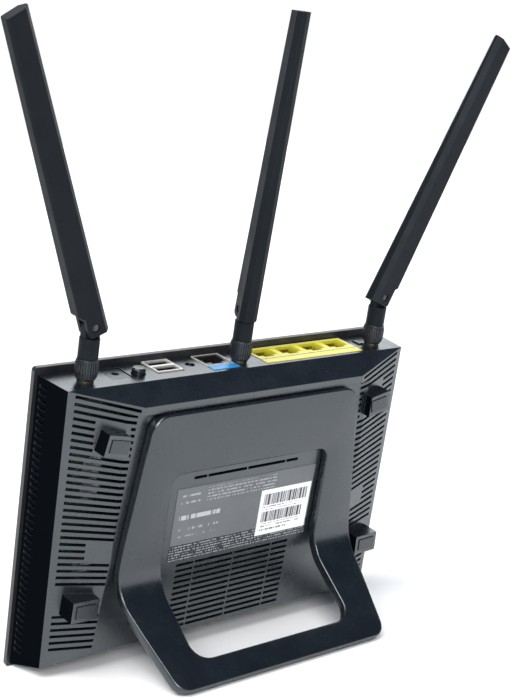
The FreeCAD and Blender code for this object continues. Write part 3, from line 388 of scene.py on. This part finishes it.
def gloss_cover():
    """Polished black front panel with polishing marks and dust; the rim and the inside are satin."""
    recipe = Recipe("gloss_cover")
    marks = recipe.noise(240.0, 5.0, 0.7, recipe.stretched((1.0, 1.0, 14.0)))
    dust = recipe.noise(5200.0, 2.0)
    tone = recipe.spread(recipe.noise(30.0), 0.0, 1.0)
    base = recipe.mix(tone, (0.006, 0.006, 0.008), (0.011, 0.011, 0.013))
    recipe.colour(recipe.mix(recipe.spread(dust, 0.0, 0.5, 0.68, 0.8), base, (0.08, 0.08, 0.08)))
    front = recipe.facing((0.0, -math.cos(LEAN), math.sin(LEAN)))
    polished = recipe.spread(marks, 0.06, 0.15)
    satin = recipe.spread(marks, 0.34, 0.46)
    keep = recipe.maths("MULTIPLY", polished, front)
    rest = recipe.maths("MULTIPLY", satin, recipe.maths("SUBTRACT", 1.0, front))
    recipe.roughness(recipe.maths("ADD", keep, rest))
    recipe.relief(recipe.bump(recipe.noise(60.0, 2.0), 0.02 * MM, 0.25))
    recipe.link(recipe.maths("MULTIPLY", front, 0.6), recipe.shader.inputs["Coat Weight"])
    recipe.set(Coat_Roughness=0.04, Specular_IOR_Level=0.8)
    return recipe.material


def metal(name, dark, light, rough, scale=900.0, stretch=(1.0, 1.0, 0.12)):
    """Rolled or turned metal with streaks and small stains."""
    recipe = Recipe(name)
    streaks = recipe.noise(scale, 4.0, 0.6, recipe.stretched(stretch))
    stain = recipe.spread(recipe.noise(120.0, 3.0), 0.0, 0.35, 0.52, 0.75)
    base = recipe.mix(recipe.spread(streaks, 0.0, 1.0), dark, light)
    recipe.colour(recipe.mix(stain, base, tuple(c * 0.6 for c in dark)))
    recipe.roughness(recipe.spread(streaks, rough, rough + 0.16))
    recipe.relief(recipe.bump(streaks, 0.012 * MM, 0.5))
    recipe.set(Metallic=1.0)
    return recipe.material


def tinned_steel():
    """Dull tin plate with fine rolling streaks, painted dark inside the sockets as shade."""
    recipe = Recipe("tinned_steel")
    streaks = recipe.noise(900.0, 4.0, 0.6, recipe.stretched((1.0, 1.0, 0.12)))
    base = recipe.mix(recipe.spread(streaks, 0.0, 1.0), (0.6, 0.585, 0.55), (0.8, 0.785, 0.75))
    # Painted shade: the tin goes near black a little below the port face.
    recipe.colour(recipe.mix(port_depth(recipe, 1.2, 0.1), (0.012, 0.012, 0.013), base))
    recipe.roughness(recipe.spread(streaks, 0.34, 0.5))
    recipe.relief(recipe.bump(streaks, 0.012 * MM, 0.5))
    recipe.set(Metallic=0.45)
    return recipe.material


def port_depth(recipe, deep, shallow):
    """1 at the port face, falling to 0 between two depths below it in millimetres; it masks the painted
    shade inside the ports.
    """
    up = recipe.stretched((1000.0, 1000.0, 1000.0), (LEAN, 0.0, 0.0))
    face = max(vertex.co.dot(DEVICE_UP) for vertex in frame["nodes"]["lan_block"].data.vertices) / MM
    return recipe.spread(recipe.split(up)[2], 0.0, 1.0, face - deep, face - shallow)


def port_moulding(name, dark, light):
    """Bright port plastic, painted dark deep inside its cavities as shade."""
    recipe = Recipe(name)
    fine = recipe.noise(2600.0, 2.0, 0.6)
    base = recipe.mix(recipe.spread(fine, 0.0, 1.0), dark, light)
    # Painted shade: the colour falls to near black deeper inside the port.
    recipe.colour(recipe.mix(port_depth(recipe, 5.5, 0.4), tuple(c * 0.06 for c in dark), base))
    recipe.roughness(recipe.spread(recipe.noise(90.0), 0.3, 0.42))
    recipe.relief(recipe.bump(fine, 0.006 * MM, 0.4))
    return recipe.material


def film(name, dark, light, rough):
    """Printed film or paper: soft fibres, faint tone changes and scuffs."""
    recipe = Recipe(name)
    recipe.colour(film_colour(recipe, dark, light))
    finish_film(recipe, rough)
    return recipe.material


def film_colour(recipe, dark, light):
    """The colour of a film or paper before anything is printed on it."""
    fibres = recipe.noise(1500.0, 3.0, 0.6, recipe.stretched((1.0, 1.0, 0.4)))
    base = recipe.mix(recipe.spread(recipe.noise(55.0, 3.0), 0.0, 1.0), dark, light)
    return recipe.mix(recipe.spread(fibres, 0.0, 0.18, 0.5, 0.8), base, tuple(c * 0.75 for c in dark))


def finish_film(recipe, rough):
    """Give a film or paper its roughness and its fibres."""
    fibres = recipe.noise(1500.0, 3.0, 0.6, recipe.stretched((1.0, 1.0, 0.4)))
    recipe.roughness(recipe.spread(recipe.noise(70.0), rough - 0.06, rough + 0.08))
    recipe.relief(recipe.bump(fibres, 0.006 * MM, 0.4))


def sheet_place(recipe, node_name):
    """Sockets with millimetres across (from the router's left) and up a sheet on the back."""
    up = Vector((0.0, math.sin(BACK_TILT), math.cos(BACK_TILT)))
    spots = [vertex.co for vertex in frame["nodes"][node_name].data.vertices]
    edge = max(spot.x for spot in spots) / MM
    foot = min(spot.dot(up) for spot in spots) / MM
    turned = recipe.stretched((-1000.0, 1000.0, 1000.0), (BACK_TILT, 0.0, 0.0), (edge, 0.0, -foot))
    across, _, height = recipe.split(turned)
    return across, height


def dashes(recipe, across, height, pitch, width, fill):
    """Rows of short strokes: a row to each pitch, broken up along it."""
    row = recipe.maths("FLOOR", recipe.maths("DIVIDE", height, pitch), 0.0)
    inside = recipe.maths("FRACT", recipe.maths("DIVIDE", height, pitch), 0.0)
    lane = recipe.between(inside, 0.3, 0.72)
    spot = recipe.node("ShaderNodeCombineXYZ")
    recipe.link(recipe.maths("DIVIDE", across, width), spot.inputs["X"])
    recipe.link(recipe.maths("MULTIPLY", row, 7.3), spot.inputs["Y"])
    along = recipe.noise(1.0, 1.0, 0.5, spot.outputs["Vector"])
    broken = recipe.spread(along, 0.0, 1.0, fill, fill + 0.03)
    return recipe.maths("MULTIPLY", lane, broken)


def patch(recipe, across, height, left, right, low, high):
    """1 inside a rectangle of the sheet."""
    columns = recipe.between(across, left, right)
    rows = recipe.between(height, low, high)
    return recipe.maths("MULTIPLY", columns, rows)


def strokes_in(recipe, place, area, pitch, width, fill, strength=1.0):
    """Rows of short strokes inside one (left, right, low, high) rectangle of a sheet."""
    rows = dashes(recipe, *place, pitch, width, fill)
    inside = recipe.maths("MULTIPLY", rows, patch(recipe, *place, *area))
    return recipe.maths("MULTIPLY", inside, strength)


def rating_film():
    """Grey film with generic pale strokes above and a dark band of fine strokes below."""
    recipe = Recipe("label_grey")
    place = sheet_place(recipe, "rating_label")
    grey = film_colour(recipe, (0.115, 0.123, 0.132), (0.15, 0.16, 0.17))
    band = recipe.between(place[1], -1.0, 8.6)
    ground = recipe.mix(band, grey, (0.012, 0.015, 0.02))
    small_print = recipe.maths("MULTIPLY", dashes(recipe, *place, 1.35, 0.9, 0.47), band)
    marks = recipe.maths("MULTIPLY", small_print, 0.55)
    heading = strokes_in(recipe, place, (3.0, 14.0, 30.0, 34.5), 4.6, 2.6, 0.44, 0.5)
    signs = strokes_in(recipe, place, (3.0, 27.0, 21.5, 27.5), 6.4, 2.4, 0.45, 0.7)
    icons = strokes_in(recipe, place, (3.0, 32.0, 12.5, 17.0), 4.8, 2.0, 0.52, 0.45)
    lines = strokes_in(recipe, place, (18.0, 60.0, 29.5, 36.5), 1.7, 1.1, 0.46, 0.45)
    for print_mask in (heading, signs, icons, lines):
        marks = recipe.maths("MAXIMUM", marks, print_mask)
    recipe.colour(recipe.mix(marks, ground, (0.62, 0.64, 0.66)))
    finish_film(recipe, 0.4)
    return recipe.material


def sticker_paper():
    """White paper with two generic rows of bars and strokes under them."""
    recipe = Recipe("sticker_white")
    place = sheet_place(recipe, "barcode_sticker")
    paper = film_colour(recipe, (0.84, 0.84, 0.84), (0.9, 0.9, 0.9))
    spot = recipe.node("ShaderNodeCombineXYZ")
    recipe.link(recipe.maths("DIVIDE", place[0], 0.42), spot.inputs["X"])
    bars = recipe.spread(recipe.noise(1.0, 0.0, 0.5, spot.outputs["Vector"]), 0.0, 1.0, 0.47, 0.49)
    upper = patch(recipe, *place, 2.2, 29.5, 16.2, 22.2)
    lower = patch(recipe, *place, 2.2, 27.5, 7.0, 12.6)
    ink = recipe.maths("MULTIPLY", bars, recipe.maths("ADD", upper, lower))
    for low, right in ((13.6, 24.0), (4.4, 27.0), (1.4, 19.0)):
        row = strokes_in(recipe, place, (2.4, right, low, low + 1.8), 1.8, 0.7, 0.46)
        ink = recipe.maths("MAXIMUM", ink, row)
    recipe.colour(recipe.mix(ink, paper, (0.03, 0.03, 0.035)))
    finish_film(recipe, 0.45)
    return recipe.material


def rubber():
    """Smooth black rubber with a satin skin and a few specks of dust."""
    recipe = Recipe("foot_rubber")
    specks = recipe.noise(2400.0, 3.0)
    tone = recipe.spread(recipe.noise(80.0), 0.0, 1.0)
    base = recipe.mix(tone, (0.004, 0.005, 0.007), (0.008, 0.010, 0.012))
    recipe.colour(recipe.mix(recipe.spread(specks, 0.0, 0.2, 0.6, 0.8), base, (0.05, 0.05, 0.05)))
    recipe.roughness(recipe.spread(recipe.noise(110.0), 0.28, 0.38))
    recipe.relief(recipe.bump(specks, 0.008 * MM, 0.4))
    recipe.set(Specular_IOR_Level=0.9, IOR=1.55, Specular_Tint=COOL)
    return recipe.material


def circuit_board():
    """Green solder mask over routed copper, with gold pads."""
    recipe = Recipe("circuit_board")
    bricks = recipe.node("ShaderNodeTexBrick")
    bricks.inputs["Scale"].default_value = 420.0
    bricks.inputs["Mortar Size"].default_value = 0.12
    recipe.link(recipe.stretched((1.0, 0.3, 1.0)), bricks.inputs["Vector"])
    base = recipe.mix(bricks.outputs["Fac"], (0.004, 0.02, 0.011), (0.008, 0.035, 0.018))
    pads = recipe.spread(recipe.cells(330.0), 1.0, 0.0, 0.14, 0.2)
    recipe.colour(recipe.mix(pads, base, (0.3, 0.24, 0.1)))
    recipe.roughness(recipe.spread(recipe.noise(200.0), 0.28, 0.42))
    recipe.relief(recipe.bump(bricks.outputs["Fac"], 0.03 * MM, 0.6))
    return recipe.material


def clear_guide():
    """Frosted clear plastic of the light guide."""
    recipe = Recipe("light_guide")
    haze = recipe.noise(700.0, 3.0)
    recipe.colour(recipe.mix(recipe.spread(haze, 0.0, 1.0), (0.62, 0.66, 0.68), (0.78, 0.8, 0.82)))
    recipe.roughness(recipe.spread(haze, 0.18, 0.34))
    recipe.relief(recipe.bump(haze, 0.01 * MM, 0.5))
    recipe.set(Transmission_Weight=0.35, IOR=1.49)
    return recipe.material


def finishes():
    """Every material slot's material."""
    return {
        "gloss_black": gloss_cover(),
        "light_guide": clear_guide(),
        "black_shell": casing("black_shell"),
        "foot_rubber": rubber(),
        "stand_black": moulded(
            "stand_black", (0.004, 0.005, 0.007), (0.006, 0.008, 0.010), 0.25, 3200.0, 0.003, 0.3, 0.95
        ),
        "label_grey": rating_film(),
        "sticker_white": sticker_paper(),
        "circuit_board": circuit_board(),
        "screw_steel": metal("screw_steel", (0.35, 0.35, 0.37), (0.6, 0.6, 0.62), 0.24),
        "screw_black": metal("screw_black", (0.05, 0.05, 0.055), (0.11, 0.11, 0.12), 0.3),
        "heatsink_aluminium": metal("heatsink_aluminium", (0.55, 0.55, 0.57), (0.75, 0.75, 0.77), 0.32),
        "tinned_steel": tinned_steel(),
        "chip_black": moulded("chip_black", (0.012, 0.012, 0.013), (0.02, 0.02, 0.022), 0.6),
        "port_yellow": port_moulding("port_yellow", (0.62, 0.56, 0.03), (0.74, 0.68, 0.06)),
        "gilt": metal("gilt", (0.5, 0.36, 0.12), (0.8, 0.62, 0.26), 0.18),
        "port_black": moulded(
            "port_black", (0.006, 0.006, 0.007), (0.01, 0.01, 0.012), 0.3, 2600.0, 0.006, 0.3, 0.9
        ),
        "marker_blue": film("marker_blue", (0.01, 0.2, 0.5), (0.02, 0.27, 0.6), 0.35),
        "button_black": moulded("button_black", (0.005, 0.006, 0.008), (0.008, 0.009, 0.012), 0.28),
        "socket_brass": metal("socket_brass", (0.3, 0.21, 0.09), (0.55, 0.42, 0.2), 0.25),
        "washer_black": moulded("washer_black", (0.01, 0.01, 0.011), (0.016, 0.016, 0.018), 0.5),
        "collar_black": moulded("collar_black", (0.006, 0.007, 0.009), (0.01, 0.011, 0.014), 0.32),
        "antenna_black": moulded(
            "antenna_black", (0.005, 0.007, 0.009), (0.009, 0.011, 0.014), 0.46, 2200.0, 0.012, 0.35, 0.1
        ),
    }


def dress(materials):
    """Give every CAD node the material of its slot."""
    for entry in frame["record"]["subparts"]:
        node = frame["nodes"][entry["node"]]
        for slot in node.material_slots:
            slot.material = materials[entry["material_slot"]]


# Stage ------------------------------------------------------------------------------------------


def look_from(thing, place, direction, roll=0.0):
    """Put a camera or light at a place, pointing along a direction."""
    turn = direction.to_track_quat("-Z", "Y").to_matrix().to_4x4()
    thing.matrix_world = Matrix.Translation(place) @ turn @ Matrix.Rotation(roll, 4, "Z")


def camera():
    """The long lens that looks at the router's back from its upper left."""
    lens = bpy.data.cameras.new("camera")
    lens.lens = 77.0
    lens.sensor_width = 36.0
    lens.clip_end = 20.0
    thing = bpy.data.objects.new("camera", lens)
    bpy.context.collection.objects.link(thing)
    place = Vector((0.4343, 0.5837, 0.2629))
    bearing = math.radians(-140.54)
    down = math.radians(9.63)
    roll = math.radians(0.69)
    level = Vector((math.sin(bearing), math.cos(bearing), 0.0))
    look_from(thing, place, level * math.cos(down) - Vector((0.0, 0.0, math.sin(down))), roll)
    bpy.context.scene.camera = thing


def soft_sun(name, source, power, spread):
    """A broad even light from a direction."""
    lamp = bpy.data.lights.new(name, "SUN")
    lamp.energy = power
    lamp.angle = math.radians(spread)
    thing = bpy.data.objects.new(name, lamp)
    bpy.context.collection.objects.link(thing)
    look_from(thing, Vector(source), -Vector(source))


def room():
    """A pale backdrop, with a dim room and one large soft box for the light and the reflections."""
    world = bpy.data.worlds.new("studio")
    bpy.context.scene.world = world
    world.use_nodes = True
    tree = world.node_tree
    surface = tree.nodes["World Output"].inputs["Surface"]
    light = tree.nodes["Background"]
    place = tree.nodes.new("ShaderNodeTexCoord")
    dot = tree.nodes.new("ShaderNodeVectorMath")
    dot.operation = "DOT_PRODUCT"
    tree.links.new(place.outputs["Generated"], dot.inputs[0])
    towards_box = Vector((-0.60, -0.68, 0.42))
    dot.inputs[1].default_value = towards_box.normalized()
    ramp = tree.nodes.new("ShaderNodeValToRGB")
    dim, lit = ramp.color_ramp.elements
    dim.position = 0.7
    dim.color = (0.035, 0.06, 0.1, 1.0)
    lit.position = 0.93
    lit.color = (2.1, 2.15, 2.2, 1.0)
    tree.links.new(dot.outputs["Value"], ramp.inputs["Fac"])
    tree.links.new(ramp.outputs["Color"], light.inputs["Color"])
    backdrop = tree.nodes.new("ShaderNodeBackground")
    backdrop.inputs["Color"].default_value = (1.0, 1.0, 1.0, 1.0)
    backdrop.inputs["Strength"].default_value = 1.02
    path = tree.nodes.new("ShaderNodeLightPath")
    chosen = tree.nodes.new("ShaderNodeMixShader")
    tree.links.new(path.outputs["Is Camera Ray"], chosen.inputs["Fac"])
    tree.links.new(light.outputs["Background"], chosen.inputs[1])
    tree.links.new(backdrop.outputs["Background"], chosen.inputs[2])
    tree.links.new(chosen.outputs["Shader"], surface)


def floor():
    """A wide pale floor."""
    reach = 6.0
    corners = [(-reach, -reach, 0), (reach, -reach, 0), (reach, reach, 0), (-reach, reach, 0)]
    data = bpy.data.meshes.new("floor")
    data.from_pydata(corners, [], [(0, 1, 2, 3)])
    thing = bpy.data.objects.new("floor", data)
    bpy.context.collection.objects.link(thing)
    recipe = Recipe("floor")
    tone = recipe.spread(recipe.noise(3.0), 0.0, 1.0)
    recipe.colour(recipe.mix(tone, (0.93, 0.93, 0.93), (0.95, 0.95, 0.95)))
    recipe.roughness(recipe.spread(recipe.noise(5.0), 0.9, 1.0))
    recipe.set(Specular_IOR_Level=0.0)
    data.materials.append(recipe.material)


def studio():
    """The backdrop, the floor and two broad lights from above and behind."""
    room()
    floor()
    soft_sun("overhead", (0.5, 0.2, 0.85), 3.2, 50.0)
    soft_sun("fill", (0.5, 0.8, 0.4), 2.2, 24.0)
    bpy.context.scene.view_settings.view_transform = "Standard"


camera()
studio()
materials = finishes()
dress(materials)
stand_frame(materials)
